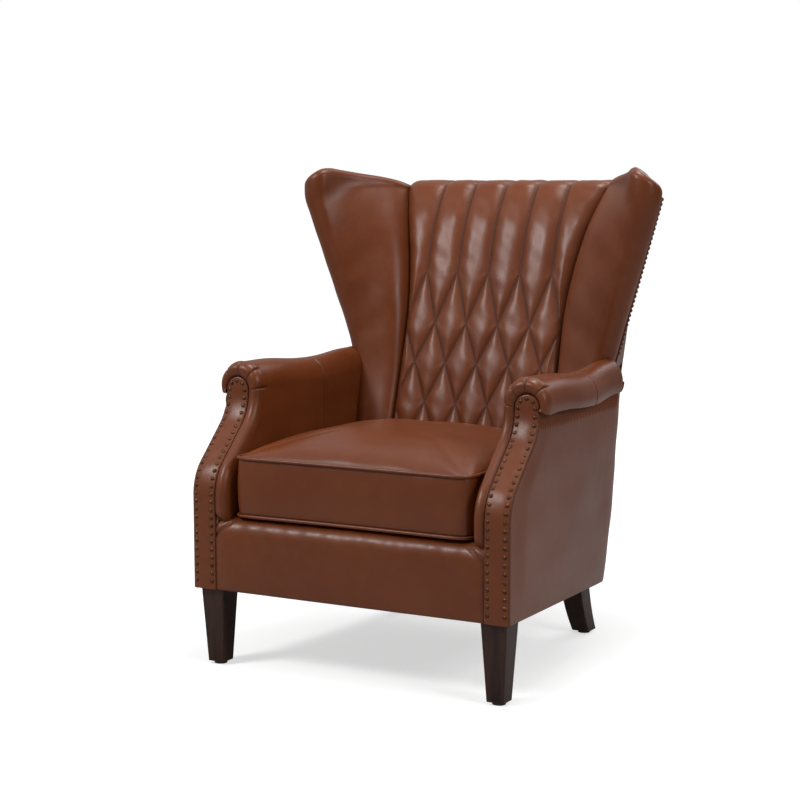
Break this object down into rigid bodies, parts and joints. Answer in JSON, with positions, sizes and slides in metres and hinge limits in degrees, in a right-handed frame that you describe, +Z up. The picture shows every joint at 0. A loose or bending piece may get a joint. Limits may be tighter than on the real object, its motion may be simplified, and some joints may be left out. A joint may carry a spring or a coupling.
{
  "type": "wingback armchair",
  "caption": "High wingback armchair in brown leather: quilted back, scrolled arms with nailhead fronts, loose crowned seat cushion and tapered wooden legs.",
  "frame": {"origin": "on the floor under the middle of the overall box", "axes": "+Z up, the seat faces -Y, +X to the right of someone who looks at the front"},
  "size_m": [0.8464, 0.8, 1.003],
  "materials": {
    "leather": "semi-gloss saddle brown, fine grain",
    "dark_wood": "satin espresso",
    "frame_wood": "sawn, unfinished",
    "bronze_nail": "antique bronze",
    "spring_steel": "oiled wire",
    "clip_steel": "zinc plated",
    "glide": "moulded black",
    "foam": "open-cell foam under wadding",
    "deck_cloth": "woven decking cloth over felt",
    "dust_cloth": "black non-woven cambric",
    "webbing": "elastic woven strap"
  },
  "bodies": {
    "chair": {"arm_board_left": "frame_wood", "arm_board_right": "frame_wood", "arm_cover_left": "leather", "arm_cover_right": "leather", "arm_facing_left": "leather", "arm_facing_right": "leather", "arm_foam_left": "foam", "arm_foam_right": "foam", "arm_nails_left": "bronze_nail", "arm_nails_right": "bronze_nail", "arm_stump_left": "frame_wood", "arm_stump_right": "frame_wood", "arm_top_rail_left": "frame_wood", "arm_top_rail_right": "frame_wood", "back_cover": "leather", "back_foam": "foam", "back_lower_rail": "frame_wood", "back_post_left": "frame_wood", "back_post_right": "frame_wood", "back_top_rail": "frame_wood", "back_webbing": "webbing", "corner_blocks": "frame_wood", "dust_cover": "dust_cloth", "foot_glides": "glide", "front_border": "leather", "front_leg_left": "dark_wood", "front_leg_right": "dark_wood", "front_rail": "frame_wood", "leg_bolts": "spring_steel", "outside_arm_left": "leather", "outside_arm_right": "leather", "outside_back": "leather", "outside_wing_left": "leather", "outside_wing_right": "leather", "rear_leg_left": "dark_wood", "rear_leg_right": "dark_wood", "rear_rail": "frame_wood", "seat_deck": "deck_cloth", "seat_springs": "spring_steel", "side_rail_left": "frame_wood", "side_rail_right": "frame_wood", "spring_clips": "clip_steel", "wing_cover_left": "leather", "wing_cover_right": "leather", "wing_foam_left": "foam", "wing_foam_right": "foam", "wing_nails_left": "bronze_nail", "wing_nails_right": "bronze_nail", "wing_post_left": "frame_wood", "wing_post_right": "frame_wood", "wing_rail_left": "frame_wood", "wing_rail_right": "frame_wood"},
    "seat_cushion": {"cushion_bottom_panel": "leather", "cushion_bottom_welt": "leather", "cushion_boxing": "leather", "cushion_core": "foam", "cushion_top_panel": "leather", "cushion_top_welt": "leather"}
  },
  "joints": [
    {"name": "cushion_lift", "type": "slide", "parent": "chair", "child": "seat_cushion", "axis": [0, 0, 1], "range_m": [0, 0.28]}
  ]
}
